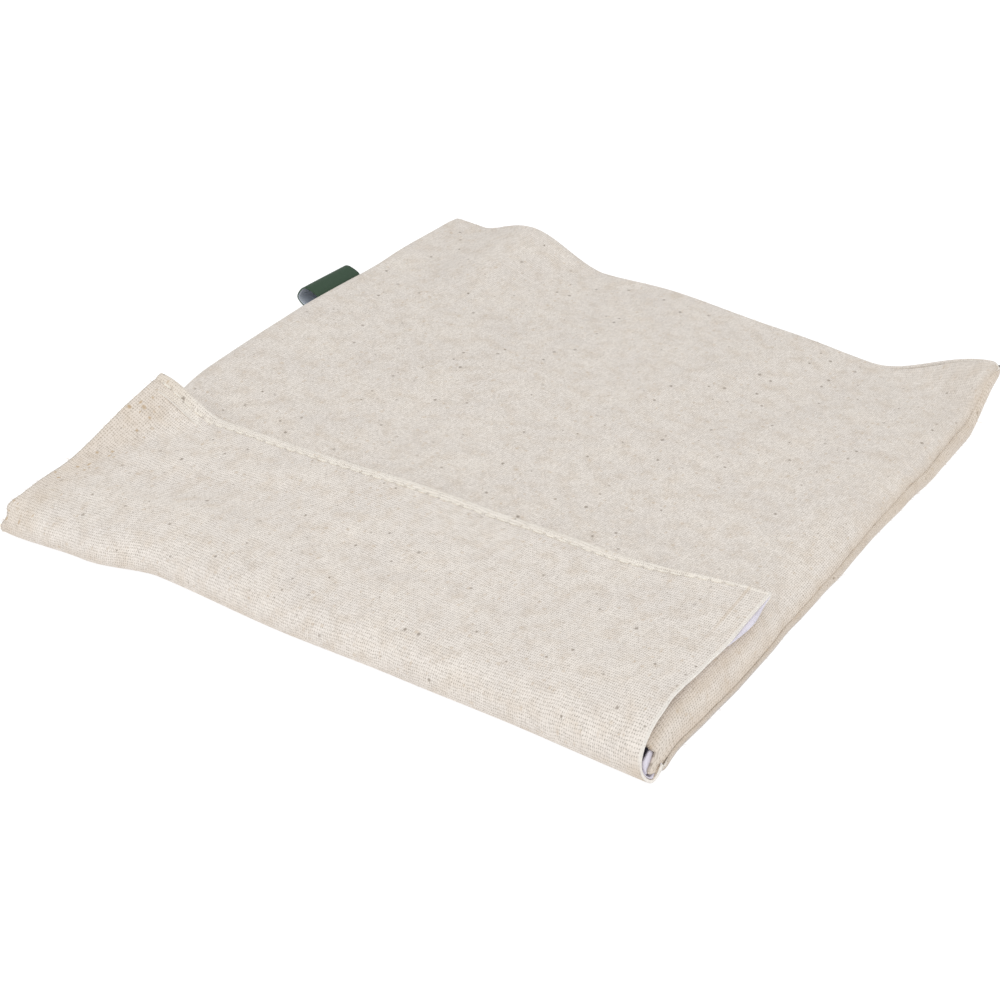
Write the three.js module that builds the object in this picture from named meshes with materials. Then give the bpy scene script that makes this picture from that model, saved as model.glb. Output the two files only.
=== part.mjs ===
// A flat, empty linen pouch that lies on a table with its flap folded over the front.
// Millimetres, Z up. X runs along the fold, Y from the fold to the far seam.
// The cloth is first shaped as a level, square pouch, measured from the fold line,
// and then settled into the uneven outline and the lifted corners in which it lies.
import * as THREE from 'three';
import { mergeVertices } from 'three/addons/utils/BufferGeometryUtils.js';

const { clamp, lerp, smoothstep, degToRad } = THREE.MathUtils;

// Driving dimensions
const WIDTH = 200; // seam to seam
const LENGTH = 204; // fold to far seam, along the middle
const LINEN = 1.2; // outer cloth with its backing
const LINING = 1; // white lining
const CLEARANCE = 0.6; // between pieces that lie on each other

// Turned seam: the back panel's edge curls up into a lip, and the front panel's edge dips in behind it
const LIP_RADIUS = 2;
const LIP_TURN = degToRad(165);
const LIP_STRIP = LIP_RADIUS * LIP_TURN;
const BASE_HALF = WIDTH / 2 - LIP_RADIUS;
const CUT_HALF = BASE_HALF + LIP_STRIP;
const COLUMNS = 10; // columns of the cloth's grid on each side of the middle, up to the lip
const LIP_OPENS = { from: 4.5, to: 13 }; // the lip flattens out towards the fold
const LIP_AT_CORNER = { share: 0.58, reach: 12 }; // two lips meet there, each less curled

// Front panel
const FRONT_HALF = WIDTH / 2 - 2.3;
const FRONT_FAR = LENGTH - 2.3;
const SEAM_HEIGHT = 3; // edge of the cloth, behind the lip
const SEAM_RISE = 0.6; // where the lip opens towards the fold
const CORNER_IN = { reach: 10, by: 0.5 }; // the far corners keep clear of the two lips
const ROLL = { left: 1.05, right: 2.1, far: 1.2 }; // reach of the rounded edge for each mm of its height
// Mouth edge, behind the fold
const MOUTH = [
  { x: 40, y: 7 },
  { x: 90, y: 3.6 },
];
const CROWN = [
  { y: 0, up: 6.7 },
  { y: 34, up: 7.6 },
  { y: 95, up: 8.6 },
  { y: 150, up: 8.3 },
  { y: 204, up: 6.2 },
];
// Soft troughs and swellings in the front panel, each an ellipse turned about Z
const DENTS = [
  { x: 52, y: 168, along: 62, across: 22, turn: 62, rise: -1.1 },
  { x: -30, y: 120, along: 60, across: 26, turn: 20, rise: 0.6 },
  { x: 40, y: 96, along: 55, across: 24, turn: -25, rise: -0.5 },
  { x: -76, y: 176, along: 30, across: 14, turn: 70, rise: -0.8 },
];
const UNDER_FLAP = { x: 100, y: 20, left: 42, right: 42, near: 70, far: 50, rise: 2.2 }; // fuller right end

// Fold and flap
const FOLD_START = 4.5;
const FOLD_END = 16;
// Section of the fold: from the table round a low, rounded front to the flap's level top
const FOLD_SECTION = {
  height: 12,
  foot: 1.5,
  front: -2.6,
  frontUp: 4.2,
  shoulderUp: 0.85,
  shoulderBack: 0.6,
};
const QUARTER_ROUND = 0.5523; // handle length of a Bezier quarter circle
const FOLD_NARROWS = 0.35; // share of the fold's run in which it becomes narrower than the pouch
const FOLD_HEIGHT = [
  { x: -100, up: 10.5 },
  { x: -45, up: 11.2 },
  { x: 20, up: 11.9 },
  { x: 100, up: 12.3 },
];
const FLAP_HALF = { table: 99.8, fold: 97.5, hem: 95.3 };
const HEM = { middle: 59, skew: 0.049, aside: 1.2, band: 3.2, step: 0.8, rise: 0.4 };
const FLAP_STACK = LINEN + LINING + 2 * CLEARANCE; // flap's top above the front panel
const FLAP_SETTLES = 44; // where the flap has come down onto the front panel
const FLAP_CORNER = { reachX: 24, reachY: 40, rise: 8.4, crease: 2.4 }; // lifted free corner, on the left
// The flap rises towards its right edge
const FLAP_RISES = [
  { x: 50, up: 0 },
  { x: 100, up: 4.8 },
];

// Lining, built where it shows: under the flap, round the fold and just inside the mouth
const LINING_INSIDE = 30; // how far it is taken into the pouch
const LINING_HALF = { inside: 92, fold: 101.9, hem: 103 }; // in widths of the cut cloth
const LINING_EDGE = 2.5; // width of its outermost column of cells
const LINING_ROLLS_OUT = { at: 0.8, reach: 0.34, by: 3 }; // at the flap's right edge
const MOUTH_LINING = { half: 95.5, from: 1.6 }; // the front panel's lining reaches out of the mouth

// Label: a ribbon folded into a loop and caught in the left seam
const LABEL = { from: 132.9, to: 153, thickness: 1 };
const LABEL_LOOP = [
  { out: 0.3, up: 5.5 },
  { out: 2.4, up: 6.5 },
  { out: 5.2, up: 7.4 },
  { out: 7.5, up: 6.3 },
  { out: 8.5, up: 4.3 },
  { out: 7.4, up: 2.8 },
  { out: 4.8, up: 2.5 },
  { out: 2.2, up: 3.3 },
];
const LABEL_SEAM = -98;

// How the pouch lies: how far each side, the far seam and the fold lie outside their straight lines
const SIDES = [
  { y: -8, left: -4.6, right: -0.6 },
  { y: 42, left: -3.2, right: 0 },
  { y: 80, left: 3.0, right: 0 },
  { y: 118, left: 2.7, right: 0.2 },
  { y: 168, left: 1.6, right: 2.2 },
  { y: 204, left: -1.1, right: 1.8 },
];
const FAR_SEAM = [
  { x: -70, out: 0.6 },
  { x: -36, out: 1.1 },
  { x: -10, out: 3.4 },
  { x: 30, out: 1.4 },
  { x: 66, out: -1.4 },
  { x: 92, out: 0.6 },
];
const FAR_SKEW = 0.045;
const FOLD_LINE = [
  { x: -97, out: 6.6 },
  { x: -71, out: 4.6 },
  { x: -48, out: -0.3 },
  { x: -6, out: 0.9 },
  { x: 30, out: 0 },
  { x: 60, out: -0.4 },
  { x: 96, out: 0.2 },
];
const FOLD_LINE_FADES = 60; // behind the fold, where its line no longer counts
const HILLS = [
  { x: -100, y: 120, left: 40, right: 34, near: 80, far: 80, rise: 1.6 }, // left side
  { x: -96, y: 212, left: 40, right: 55, near: 60, far: 60, rise: 3.4 }, // far left corner
  { x: -64, y: 212, left: 22, right: 36, near: 44, far: 60, rise: 8.2 }, // ridge beside it
];
const FAR_RIGHT_CORNER = { reachX: 36, reachY: 21, rise: 12, crease: 1.4 };

const ease = (t) => smoothstep(t, 0, 1);
const bell = (t) => (Math.abs(t) < 1 ? (1 - t * t) ** 2 : 0);

/** Reads a table of stations: the value at a place, eased between its rows. */
function along(table, key, place, value) {
  if (place <= table[0][key]) return table[0][value];
  for (let row = 1; row < table.length; row += 1) {
    const before = table[row - 1];
    const after = table[row];
    if (place <= after[key]) {
      const share = (place - before[key]) / (after[key] - before[key]);
      return lerp(before[value], after[value], ease(share));
    }
  }
  return table[table.length - 1][value];
}

/** Lift of a corner that curls up about a slanting line, at some distance in from its two edges. */
function curl(corner, insideX, insideY) {
  const share = clamp(1 - insideX / corner.reachX - insideY / corner.reachY, 0, 1);
  return corner.rise * (1 - (1 - share) ** 2) ** corner.crease;
}

/** Height of a rounded hill with its own reach on each side. */
function hill(row, x, y) {
  const reachX = x < row.x ? row.left : row.right;
  const reachY = y < row.y ? row.near : row.far;
  return row.rise * bell((x - row.x) / reachX) * bell((y - row.y) / reachY);
}

/** Moves a point of the level, square pouch to where it lies on the table. */
function settle(point) {
  const { x, y, z } = point;
  const leftShare = Math.max(0, -x) / (WIDTH / 2);
  const rightShare = Math.max(0, x) / (WIDTH / 2);
  const aside = along(SIDES, 'y', y, 'right') * rightShare - along(SIDES, 'y', y, 'left') * leftShare;
  const near = along(FOLD_LINE, 'x', x, 'out') * ease((FOLD_LINE_FADES - y) / FOLD_LINE_FADES);
  const far = (along(FAR_SEAM, 'x', x, 'out') - FAR_SKEW * x) * (y / LENGTH);
  let lift = curl(FAR_RIGHT_CORNER, WIDTH / 2 - x, LENGTH - y);
  for (const row of HILLS) lift += hill(row, x, y);
  return point.set(x + aside, y + far - near, z + lift);
}

/** Outward normal of a surface given by two parameters. */
function normalAt(surface, u, v) {
  const stepU = 0.02;
  const stepV = 0.002;
  const alongU = surface(u + stepU, v).sub(surface(u - stepU, v));
  const alongV = surface(u, v + stepV).sub(surface(u, v - stepV));
  return alongU.cross(alongV).normalize();
}

/** A point under a surface, measured along its normal. */
function under(surface, u, v, depth) {
  return surface(u, v).addScaledVector(normalAt(surface, u, v), -depth);
}

/** A closed sheet through stations across and along it: its faces lie proud of the surface and below it. */
function sheet(across, lengthways, surface, thickness, proud = () => 0) {
  const cellsX = across.length - 1;
  const cellsY = lengthways.length - 1;
  const box = new THREE.BoxGeometry(1, 1, 1, cellsX, cellsY, 1);
  box.deleteAttribute('normal');
  box.deleteAttribute('uv');
  const geometry = mergeVertices(box, 1e-4);
  const position = geometry.attributes.position;
  for (let i = 0; i < position.count; i += 1) {
    const u = across[Math.round((position.getX(i) + 0.5) * cellsX)];
    const v = lengthways[Math.round((position.getY(i) + 0.5) * cellsY)];
    const depth = position.getZ(i) > 0 ? -proud(u, v) : thickness;
    const point = settle(under(surface, u, v, depth));
    position.setXYZ(i, point.x, point.y, point.z);
  }
  geometry.computeVertexNormals();
  return geometry;
}

/** Evenly spaced stations, both ends included. */
function stations(from, to, cells) {
  return Array.from({ length: cells + 1 }, (_, i) => lerp(from, to, i / cells));
}

/** Joins runs of stations whose ends meet. */
function joined(...runs) {
  return runs.flatMap((run, i) => (i === 0 ? run : run.slice(1)));
}

/** Section of the fold, for its nominal height. */
function foldSection() {
  const { height, foot, front, frontUp, shoulderUp, shoulderBack } = FOLD_SECTION;
  const knot = (back, up) => new THREE.Vector3(0, back, up);
  const path = new THREE.CurvePath();
  path.add(new THREE.LineCurve3(knot(FOLD_START, 0), knot(foot, 0)));
  path.add(
    new THREE.CubicBezierCurve3(
      knot(foot, 0),
      knot(lerp(foot, front, QUARTER_ROUND), 0),
      knot(front, frontUp * (1 - QUARTER_ROUND)),
      knot(front, frontUp),
    ),
  );
  path.add(
    new THREE.CubicBezierCurve3(
      knot(front, frontUp),
      knot(front, lerp(frontUp, height, shoulderUp)),
      knot(lerp(FOLD_END, front, shoulderBack), height),
      knot(FOLD_END, height),
    ),
  );
  return path;
}
const foldPath = foldSection();

const crownAt = (x, y) => {
  let height = along(CROWN, 'y', y, 'up');
  for (const dent of DENTS) {
    const turn = degToRad(dent.turn);
    const ahead = (x - dent.x) * Math.cos(turn) + (y - dent.y) * Math.sin(turn);
    const aside = (y - dent.y) * Math.cos(turn) - (x - dent.x) * Math.sin(turn);
    height += dent.rise * bell(ahead / dent.along) * bell(aside / dent.across);
  }
  return height;
};

const hemAt = (x) => HEM.middle + HEM.skew * x;
const mouthAt = (x) => along(MOUTH, 'x', x, 'y');

/** Height of the flap's top face. */
function flapTop(x, y) {
  const fold = along(FOLD_HEIGHT, 'x', x, 'up');
  const laid = crownAt(x, Math.max(y, FOLD_END)) + FLAP_STACK;
  const left = lerp(FLAP_HALF.fold, FLAP_HALF.hem - HEM.aside, (y - FOLD_END) / (hemAt(x) - FOLD_END));
  const lift = curl(FLAP_CORNER, left + x, hemAt(x) - y) + along(FLAP_RISES, 'x', x, 'up');
  return lerp(fold, laid, ease((y - FOLD_END) / (FLAP_SETTLES - FOLD_END))) + lift;
}

/** Zones of the back panel's length, from the far seam to the flap's hem. */
const ZONE = { lip: 0, base: 1, fold: 2, flap: 3, end: 4 };

/** How far a lip is still curled up at some distance from the corner where two of them meet. */
function cornerShare(inside) {
  return lerp(LIP_AT_CORNER.share, 1, ease(inside / LIP_AT_CORNER.reach));
}

/** How far the side lips are curled up: 1 along the pouch, 0 at the fold and the flap. */
function sideShare(y) {
  return cornerShare(LENGTH - y) * ease((y - LIP_OPENS.from) / (LIP_OPENS.to - LIP_OPENS.from));
}

/** Section of a lip: how far in its strip starts, and where a point of the strip lies. */
function lip(strip, share) {
  const turn = LIP_TURN * share;
  if (turn < 1e-3) return { reach: LIP_STRIP, out: strip, up: 0 };
  const radius = LIP_STRIP / turn;
  const angle = strip / radius;
  const reach = radius * Math.sin(Math.min(turn, Math.PI / 2));
  return { reach, out: radius * Math.sin(angle), up: radius * (1 - Math.cos(angle)) };
}

/** Place across the pouch of a point of the cut cloth: how far out, and how high the lip lifts it. */
function acrossBack(u, share, half) {
  const strip = Math.abs(u) - BASE_HALF;
  const { reach, out, up } = lip(Math.max(strip, 0), share);
  if (strip <= 0) return { x: (u * (half - reach)) / BASE_HALF, up: 0 };
  return { x: Math.sign(u) * (half - reach + out), up };
}

/** Outer face of the back panel: far lip, base, fold and flap in one run of cloth. */
function backPanel(u, v) {
  if (v < ZONE.fold) {
    const far = lip(LIP_STRIP * Math.max(ZONE.base - v, 0), cornerShare(CUT_HALF - Math.abs(u)));
    const start = LENGTH - far.reach;
    const y = v < ZONE.base ? start + far.out : lerp(start, FOLD_START, v - ZONE.base);
    const side = acrossBack(u, sideShare(y), lerp(FLAP_HALF.table, WIDTH / 2, sideShare(y)));
    const both = (side.up * far.up) / lip(LIP_STRIP, LIP_AT_CORNER.share).up;
    return new THREE.Vector3(side.x, y, side.up + far.up - both);
  }
  if (v < ZONE.flap) {
    const narrowing = ease((v - ZONE.fold) / FOLD_NARROWS);
    const { x } = acrossBack(u, 0, lerp(FLAP_HALF.table, FLAP_HALF.fold, narrowing));
    const section = foldPath.getPoint(v - ZONE.fold);
    return new THREE.Vector3(x, section.y, (section.z * flapTop(x, FOLD_END)) / FOLD_SECTION.height);
  }
  const share = v - ZONE.flap;
  const x = acrossBack(u, 0, lerp(FLAP_HALF.fold, FLAP_HALF.hem, share)).x + HEM.aside * share;
  const y = lerp(FOLD_END, hemAt(x), share);
  return new THREE.Vector3(x, y, flapTop(x, y));
}

/** The flap's hem is turned over, so the cloth stands proud in its band. */
function hemProud(u, v) {
  const inside = (ZONE.end - v) * (HEM.middle - FOLD_END);
  return HEM.rise * (1 - smoothstep(inside, HEM.band, HEM.band + HEM.step));
}

/** Outer face of the front panel: crowned, rounded off to the seam on three sides. */
function frontPanel(x, y) {
  const opened = 1 - ease((y - LIP_OPENS.from) / (LIP_OPENS.to - LIP_OPENS.from));
  const seam = SEAM_HEIGHT + SEAM_RISE * opened;
  const height = crownAt(x, y) + hill(UNDER_FLAP, x, y) - seam;
  const inside = Math.min(
    (FRONT_HALF - x) / ROLL.right,
    (FRONT_HALF + x) / ROLL.left,
    (FRONT_FAR - y) / ROLL.far,
  );
  const fromCorner = Math.max(FRONT_HALF - Math.abs(x), FRONT_FAR - y) / LIP_AT_CORNER.reach;
  const rolled = (1 - (1 - clamp(inside / height, 0, 1)) ** 2) ** lerp(1, 0.5, ease(fromCorner));
  const cornerIn = CORNER_IN.by * bell(Math.hypot(FRONT_HALF - Math.abs(x), FRONT_FAR - y) / CORNER_IN.reach);
  return new THREE.Vector3(x - Math.sign(x) * cornerIn, y - cornerIn, seam + height * rolled);
}

/** The front panel's cloth, whose first rows follow the mouth edge. */
function frontCloth(x, station) {
  const fromMouth = (station - MOUTH[0].y) / (LIP_OPENS.to - MOUTH[0].y);
  return frontPanel(x, fromMouth < 1 ? lerp(mouthAt(x), LIP_OPENS.to, fromMouth) : station);
}

const baseShare = (y) => ZONE.base + (LENGTH - LIP_RADIUS - y) / (LENGTH - LIP_RADIUS - FOLD_START);

/** Half width of the lining in the cut cloth; its right edge rolls out beside the flap. */
function liningHalf(side, v) {
  if (v < ZONE.fold) {
    const opened = ease((v - baseShare(LIP_OPENS.to)) / (ZONE.fold - baseShare(LIP_OPENS.to)));
    return lerp(LINING_HALF.inside, LINING_HALF.fold, opened);
  }
  if (v < ZONE.flap) return LINING_HALF.fold;
  const share = v - ZONE.flap;
  const rolled = LINING_ROLLS_OUT.by * bell((share - LINING_ROLLS_OUT.at) / LINING_ROLLS_OUT.reach);
  return lerp(LINING_HALF.fold, LINING_HALF.hem, share) + (side > 0 ? rolled : 0);
}

/** Place in the cut cloth of a lining column: they run with the back panel's, but for the last two. */
function liningColumn(column, v) {
  const shared = COLUMNS - 1;
  const count = Math.abs(column);
  const pitch = BASE_HALF / COLUMNS;
  if (count <= shared) return column * pitch;
  const half = liningHalf(column, v);
  const inner = Math.min(BASE_HALF, half - LINING_EDGE);
  const last = count > COLUMNS;
  const reach = last ? lerp(inner, half, count - COLUMNS) : lerp(shared * pitch, inner, count - shared);
  return Math.sign(column) * reach;
}

/** Outer face of the lining, close under the back panel and the flap. */
function flapLining(column, v) {
  return under(backPanel, liningColumn(column, v), v, LINEN + CLEARANCE);
}

/** Outer face of the front panel's own lining, just inside the mouth. */
function mouthLining(x, y) {
  return under(frontPanel, x, y, LINEN + CLEARANCE);
}

const labelCurve = new THREE.CatmullRomCurve3(
  LABEL_LOOP.map((row) => new THREE.Vector3(LABEL_SEAM - row.out, 0, row.up)),
);

/** Outer face of the label's loop, from the seam's upper side round to its lower side. */
function sideLabel(y, share) {
  const held = clamp(share, 0, 1);
  const point = labelCurve.getPoint(held);
  point.addScaledVector(labelCurve.getTangent(held), (share - held) * labelCurve.getLength());
  return point.setY(y);
}

const lipStations = stations(-CUT_HALF, -BASE_HALF, 6);
const backAcross = joined(
  lipStations,
  stations(-BASE_HALF, BASE_HALF, 2 * COLUMNS),
  lipStations.map((u) => -u).reverse(),
);
const fromHem = (inside) => ZONE.end - inside / (HEM.middle - FOLD_END);
const foldStation = (curve) => ZONE.fold + foldPath.getCurveLengths()[curve] / foldPath.getLength();
const flapLengthways = joined(
  stations(ZONE.fold, foldStation(0), 1),
  stations(foldStation(0), foldStation(1), 5),
  stations(foldStation(1), ZONE.flap, 8),
  stations(ZONE.flap, fromHem(HEM.band + HEM.step), 6),
  [HEM.band + HEM.step, HEM.band, 0].map(fromHem),
);
const backLengthways = joined(
  stations(ZONE.lip, ZONE.base, 6),
  stations(ZONE.base, baseShare(LIP_OPENS.to), 17),
  stations(baseShare(LIP_OPENS.to), ZONE.fold, 3),
  flapLengthways,
);

const rolledIn = [0, 0.3, 1, 2.3, 4.4, 7.4, 11.2];
const frontInner = FRONT_HALF - rolledIn[rolledIn.length - 1];
const frontAcross = joined(
  rolledIn.map((inside) => inside - FRONT_HALF),
  stations(-frontInner, frontInner, 18),
  rolledIn.map((inside) => FRONT_HALF - inside).reverse(),
);
const frontLengthways = joined(
  stations(MOUTH[0].y, LIP_OPENS.to, 3),
  stations(LIP_OPENS.to, FRONT_FAR - 12, 17),
  [12, 8.6, 5.4, 3, 1.4, 0.5, 0.15, 0].map((inside) => FRONT_FAR - inside),
);

const linen = () => new THREE.MeshStandardMaterial({ color: 0xdcd2c6, roughness: 0.95, metalness: 0 });
const white = () => new THREE.MeshStandardMaterial({ color: 0xe4e0ea, roughness: 0.7, metalness: 0 });
const green = () => new THREE.MeshStandardMaterial({ color: 0x2f4a35, roughness: 0.6, metalness: 0 });

/** A named piece of the pouch. */
function piece(name, geometry, material) {
  const mesh = new THREE.Mesh(geometry, material);
  mesh.name = name;
  return mesh;
}

const pouch = new THREE.Group();
pouch.add(
  piece('back_panel', sheet(backAcross, backLengthways, backPanel, LINEN, hemProud), linen()),
  piece('front_panel', sheet(frontAcross, frontLengthways, frontCloth, LINEN), linen()),
  piece(
    'flap_lining',
    sheet(
      stations(-COLUMNS - 1, COLUMNS + 1, 2 * COLUMNS + 2),
      joined(stations(baseShare(LINING_INSIDE), ZONE.fold, 3), flapLengthways),
      flapLining,
      LINING,
    ),
    white(),
  ),
  piece(
    'mouth_lining',
    sheet(
      stations(-MOUTH_LINING.half, MOUTH_LINING.half, 20),
      stations(MOUTH_LINING.from, LINING_INSIDE, 4),
      mouthLining,
      LINING,
    ),
    white(),
  ),
  piece(
    'side_label',
    sheet(stations(LABEL.from, LABEL.to, 3), stations(0, 1, 14), sideLabel, LABEL.thickness),
    green(),
  ),
);

// The origin is at the middle of the underside.
pouch.position.y = -LENGTH / 2;

export default pouch;
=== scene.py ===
"""A flat linen pouch with its flap folded over, laid out as an add-on and run as a script."""
import math
import random

import bmesh
import bpy
from bpy.props import FloatProperty, FloatVectorProperty, IntProperty, PointerProperty
from mathutils import Matrix, Vector, geometry, noise


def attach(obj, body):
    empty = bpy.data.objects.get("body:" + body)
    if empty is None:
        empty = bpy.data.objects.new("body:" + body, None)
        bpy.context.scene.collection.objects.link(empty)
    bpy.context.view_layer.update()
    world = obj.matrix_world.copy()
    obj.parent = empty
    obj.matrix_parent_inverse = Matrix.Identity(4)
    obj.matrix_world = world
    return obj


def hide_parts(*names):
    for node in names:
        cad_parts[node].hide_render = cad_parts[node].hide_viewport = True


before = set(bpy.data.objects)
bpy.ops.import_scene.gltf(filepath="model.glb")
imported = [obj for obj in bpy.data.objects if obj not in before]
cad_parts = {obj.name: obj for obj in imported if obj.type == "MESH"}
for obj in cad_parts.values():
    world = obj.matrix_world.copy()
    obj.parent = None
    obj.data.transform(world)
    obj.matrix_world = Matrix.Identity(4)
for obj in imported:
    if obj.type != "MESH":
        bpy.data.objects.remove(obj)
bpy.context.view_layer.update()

bl_info = {
    "name": "Linen pouch",
    "version": (1, 0, 0),
    "blender": (4, 5, 0),
    "location": "3D View > Sidebar > Pouch",
    "description": "Lays out the cloth, seams and stitches of a folded linen pouch",
    "category": "Object",
}

MM = 0.001


def table(columns, *rows):
    """A short table, as a list of rows with named columns."""
    names = columns.split()
    return [dict(zip(names, row)) for row in rows]


# The cloth, in millimetres. X runs along the fold, Y from the fold to the far seam.
WIDTH = 200
LENGTH = 204

# Turned seam: the back panel's edge curls up into a lip, and the front panel's edge dips in behind it
LIP_RADIUS = 2.4
LIP_TURN = math.radians(168)
LIP_STRIP = LIP_RADIUS * LIP_TURN
BASE_HALF = WIDTH / 2 - LIP_RADIUS
CUT_HALF = BASE_HALF + LIP_STRIP
LIP_OPENS = {"from": 0, "to": 10, "spread": 0.3}
LIP_WIDTH = table("y width", (0, 0.4), (45, 0.36), (82, 0.52), (105, 0.62), (150, 0.9), (180, 1.1))
LIP_AT_CORNER = {"share": 0.58, "width": 0.6, "reach": 9}
CORNER_ROUND = 4

# Front panel
FRONT_HALF = WIDTH / 2 - 1.2
FRONT_FAR = LENGTH - 1.3
FRONT_AT_CORNER = {"out": 1.3, "reach": 9}
FRONT_AT_MOUTH = 0.5
FRONT_MEETS_LIP = {"out": 1.2, "for_width": 1.95, "reach": 30}
SEAM_HEIGHT = {"along": 4.2, "mouth": 0.9, "corner": 2.4}
ROLL = {"left": 1.05, "right": 2.1, "beside_flap": 0.5, "far": 1.2, "power": 0.6}
MOUTH = table("x y", (90, 7), (95.4, 2.8), (96.8, 3), (97.9, 4.2), (98.2, -0.4), (98.5, -0.4), (98.8, 2.5))
MOUTH_FADES = 13
UNDER_FLAP = table(
    "x y left right near far rise",
    (100, 20, 42, 42, 70, 50, 2.2),
    (97, 44, 34, 40, 44, 46, 3.0),
)
BESIDE_FLAP = {"from": 52, "to": 84}
SEAM_TURN = {"wider": 2.2, "from": 60, "to": 95}
CROWN = table("y up", (0, 6.7), (34, 7.6), (95, 8.6), (150, 8.3), (204, 6.2))
FRONT_TROUGHS = table(
    "x y along across turn rise",
    (52, 168, 62, 22, 62, -1.8),
    (-30, 120, 60, 26, 20, 0.6),
    (40, 96, 55, 24, -25, -0.5),
    (-76, 176, 30, 14, 70, -0.8),
)

# Fold and flap
FOLD_START = 4.5
FOLD_END = 16
FOLD_SECTION_HEIGHT = 12
FOLD_FOOT = 1.5
FOLD_FRONT = {"back": -2.6, "up": 4.2}
FOLD_SHOULDER = {"up": 0.85, "back": 0.6}
FOLD_STEPS = {"low": 40, "high": 80}
QUARTER_ROUND = 0.5523
FOLD_NARROWS = 0.35
FOLD_LEFT_END = table("share out", (0.16, 0), (0.3, 0.8), (0.42, -0.7), (0.52, 0.9), (0.68, 0))
FOLD_HEIGHT = table("x up", (-100, 10.5), (-45, 11.2), (20, 11.9), (100, 12.3))
FLAP_HALF = {"table": 100.4, "fold": 97.8, "hem": 95.3}
FLAP_STACK = 3.4
FLAP_SETTLES = 44
FLAP_CORNER = {"reach_x": 24, "reach_y": 40, "rise": 9.2, "crease": 2.4}
FLAP_RISES = table("x up", (50, 0), (100, 3.4))
FLAP_TROUGHS = table(
    "x y along across turn rise",
    (-60, 27, 46, 12, 12, -1.5),
    (10, 26, 60, 9, 2, -0.6),
    (-30, 46, 34, 10, 4, 0.5),
    (66, 44, 30, 12, 4, 0.4),
)

# Hem: turned under and stitched, with a soft roll beyond the stitches
HEM_MIDDLE = 59
HEM_SKEW = 0.049
HEM_ASIDE = 1.2
HEM_WAVER = {"by": 0.25, "pitch": 21, "seed": (0.5, 3.0)}
HEM_RADIUS = 1.1
HEM_RETURN = 5
HEM_STITCHES = table("x inside", (50, 3.2), (92, 1.7))
HEM_STITCHES_END = {"left": -92, "right": 89}
HEM_ROLL = {"at": 0.5, "reach": 0.55, "rise": 0.22}
HEM_GROOVE = {"reach": 1.1, "depth": 0.2}

# Linings
LINING_GAP = 0.1
LINING_INSIDE = 30
LINING_HALF = {"inside": 92, "edge": CUT_HALF}
LINING_EDGE = 4
LINING_AT_FOLD = table("share by", (0, -1.2), (0.12, -0.3), (0.26, -0.3), (0.36, -4), (0.9, -4), (1, -0.8))
LINING_ROLLS_OUT = table("share by", (0, -0.8), (0.4, -0.7), (0.75, 1.3), (1, 0))
LINING_DROOP = {"rate": 0.12, "power": 1.5}
LINING_STOPS = 1.4
MOUTH_LINING = {"half": 98.5, "thickness": 0.8}
LINING_AT_MOUTH = table("x y", (92, 0.2), (95.8, 5.4), (97.2, 5.2), (97.5, -0.8), (98.5, -0.8))

# Label: a ribbon folded into a loop and caught in the left seam
LABEL = {"from": 132.9, "to": 153}
LABEL_SEAM = -98
LABEL_STEPS = 6
LABEL_LOOP = table(
    "out up",
    (-0.6, 5.0),
    (0.6, 6.4),
    (2.4, 7.2),
    (4.4, 7.7),
    (6.0, 7.4),
    (7.4, 6.1),
    (8.6, 3.9),
    (8.2, 2.4),
    (6.4, 0.9),
    (4.2, 0.7),
    (2.2, 1.4),
    (1.0, 2.4),
)

# How the pouch lies: how far its sides, far seam and fold lie outside their straight lines
SIDES = table(
    "y left right",
    (-1, -4.5, -0.5),
    (7, -4.3, -0.8),
    (14, -4.1, -1.3),
    (28, -3.65, -0.65),
    (42, -3.2, -0.1),
    (80, 3.0, 0),
    (118, 2.7, 0.2),
    (168, 0.7, 2.2),
    (204, -3.0, 1.8),
)
FAR_SEAM = table(
    "x out", (-70, 0.4), (-52, -0.4), (-36, 0.4), (-10, 3.2), (30, 0.7), (66, -2.0), (92, 0.4)
)
FAR_SKEW = 0.045
FOLD_LINE = table(
    "x out", (-97, 6.6), (-71, 4.6), (-48, -0.3), (-6, 0.9), (30, 0), (60, -0.4), (96, 0.2)
)
FOLD_LINE_FADES = 60
HILLS = table(
    "x y left right near far rise",
    (-100, 120, 40, 34, 80, 80, 1.6),
    (-96, 212, 40, 55, 60, 60, 3.4),
    (-64, 212, 22, 28, 62, 60, 7.5),
)
FAR_RIGHT_CORNER = {"reach_x": 42, "reach_y": 24.5, "rise": 12, "crease": 2.2}
RIPPLE = {"rise": 0.16, "pitch": 17}
SEAM_WAVER = {"by": 0.6, "pitch": 11, "seed": (2.5, 8.5), "from": 50, "to": 70}

# Camera, from the photograph's outline
CAMERA_AZIMUTH = math.radians(33.37)
CAMERA_ELEVATION = math.radians(33.17)
CAMERA_DISTANCE = 0.5454
CAMERA_TARGET = Vector((0.0063, -0.0231, 0.0))
CAMERA_LENS = 71.64
CAMERA_SENSOR = 36.0


def srgb(red, green, blue):
    """A colour given as it looks on a screen, 0 to 255, in linear values with alpha."""
    shares = [value / 255 for value in (red, green, blue)]
    linear = [s / 12.92 if s <= 0.04045 else ((s + 0.055) / 1.055) ** 2.4 for s in shares]
    return (*linear, 1.0)


def length_prop(name, description, millimetres):
    """A length that a user may change, given in millimetres and kept in metres."""
    return FloatProperty(
        name=name,
        description=description,
        default=millimetres * MM,
        min=0.0,
        unit="LENGTH",
        precision=5,
    )


def colour_prop(name, description, colour):
    """A colour that a user may change."""
    return FloatVectorProperty(
        name=name,
        description=description,
        default=colour,
        size=4,
        min=0.0,
        max=1.0,
        subtype="COLOR",
    )


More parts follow.
